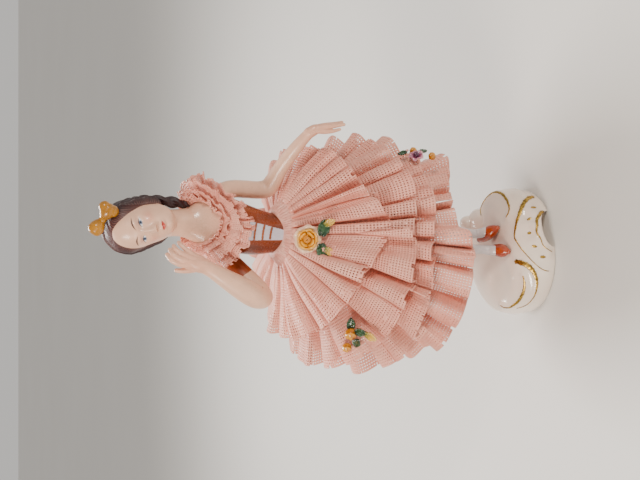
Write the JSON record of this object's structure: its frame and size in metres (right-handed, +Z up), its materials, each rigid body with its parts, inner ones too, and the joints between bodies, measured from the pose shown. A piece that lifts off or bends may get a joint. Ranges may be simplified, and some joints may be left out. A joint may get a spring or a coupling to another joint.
{
  "type": "porcelain figurine",
  "caption": "Glazed porcelain dancing lady in a tiered lace skirt, standing on a scrolled base with a flat underside.",
  "frame": {"origin": "middle of the base's flat underside", "axes": "+Z up, +X towards her left, she faces -Y"},
  "size_m": [0.0866, 0.0768, 0.1592],
  "materials": {
    "white_glaze": "gloss white glaze with painted gold scrolls",
    "stocking_white": "gloss white glaze",
    "slipper_tan": "gloss orange-brown overglaze",
    "pink_lace": "satin pink porcelain lace",
    "skin_glaze": "gloss flesh-tinted glaze",
    "dark_hair": "gloss dark brown overglaze",
    "ochre_yellow": "gloss ochre glaze",
    "cream_petal": "gloss cream glaze",
    "rose_pink": "gloss rose glaze",
    "leaf_green": "gloss dark green glaze"
  },
  "bodies": {
    "root": {"base": "white_glaze", "bow_knot": "ochre_yellow", "bow_left_loop": "ochre_yellow", "bow_right_loop": "ochre_yellow", "collar_inner_ruffle": "pink_lace", "collar_outer_ruffle": "pink_lace", "hair": "dark_hair", "hair_ringlet": "dark_hair", "head": "skin_glaze", "lace_tier_1": "pink_lace", "lace_tier_2": "pink_lace", "lace_tier_3": "pink_lace", "lace_tier_4": "pink_lace", "left_arm": "skin_glaze", "left_bud_large": "ochre_yellow", "left_bud_leaf_1": "leaf_green", "left_bud_leaf_2": "leaf_green", "left_bud_leaf_3": "leaf_green", "left_bud_small": "ochre_yellow", "left_bud_tip": "cream_petal", "left_hand": "skin_glaze", "left_leg": "stocking_white", "left_slipper": "slipper_tan", "right_arm": "skin_glaze", "right_blossom_eye": "dark_hair", "right_blossom_petal_1": "rose_pink", "right_blossom_petal_2": "rose_pink", "right_blossom_petal_3": "rose_pink", "right_blossom_petal_4": "rose_pink", "right_blossom_petal_5": "rose_pink", "right_bud_lower": "ochre_yellow", "right_bud_upper": "ochre_yellow", "right_hand": "skin_glaze", "right_leaf_lower": "leaf_green", "right_leaf_upper": "leaf_green", "right_leg": "stocking_white", "right_slipper": "slipper_tan", "rose_centre": "ochre_yellow", "rose_inner_whorl": "ochre_yellow", "rose_leaf_left": "leaf_green", "rose_leaf_right": "leaf_green", "rose_petal_1": "cream_petal", "rose_petal_2": "cream_petal", "rose_petal_3": "cream_petal", "rose_petal_4": "cream_petal", "rose_petal_5": "cream_petal", "rose_tip_left": "cream_petal", "rose_tip_right": "cream_petal", "skirt_core": "pink_lace", "torso": "skin_glaze", "waist_lace_band": "pink_lace"}
  },
  "joints": []
}
